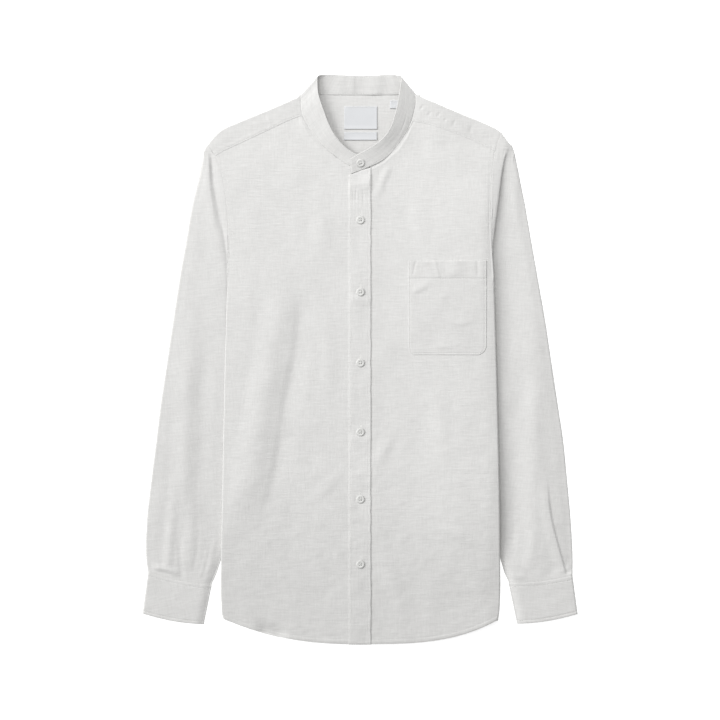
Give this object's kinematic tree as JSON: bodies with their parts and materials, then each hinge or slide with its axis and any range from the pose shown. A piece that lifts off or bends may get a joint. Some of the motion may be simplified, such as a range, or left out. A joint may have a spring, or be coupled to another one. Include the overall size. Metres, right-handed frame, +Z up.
{
  "type": "mandarin collar shirt",
  "caption": "Long-sleeved linen shirt with a mandarin band collar, buttoned front placket and chest pocket, laid flat on its back with the sleeves beside the body.",
  "frame": {"origin": "on the surface that the shirt lies on, below the middle of its length and width", "axes": "+X towards the sleeve of the wearer's left arm, +Y from the hem to the collar, +Z up out of the shirt's front"},
  "size_m": [0.6068, 0.7967, 0.0129],
  "materials": {
    "linen": "plain-woven white linen, slubbed and matte",
    "button": "satin, pale grey like shell",
    "label": "smooth woven tape, left bare"
  },
  "bodies": {
    "root": {"back": "linen", "yoke": "linen", "front_right": "linen", "front_left": "linen", "placket": "linen", "pocket": "linen", "sleeve_right": "linen", "sleeve_left": "linen", "cuff_right": "linen", "cuff_left": "linen", "collar_band": "linen", "button_1": "button", "button_2": "button", "button_3": "button", "button_4": "button", "button_5": "button", "button_6": "button", "button_7": "button", "label_main": "label", "label_care": "label", "label_size": "label"}
  },
  "joints": []
}
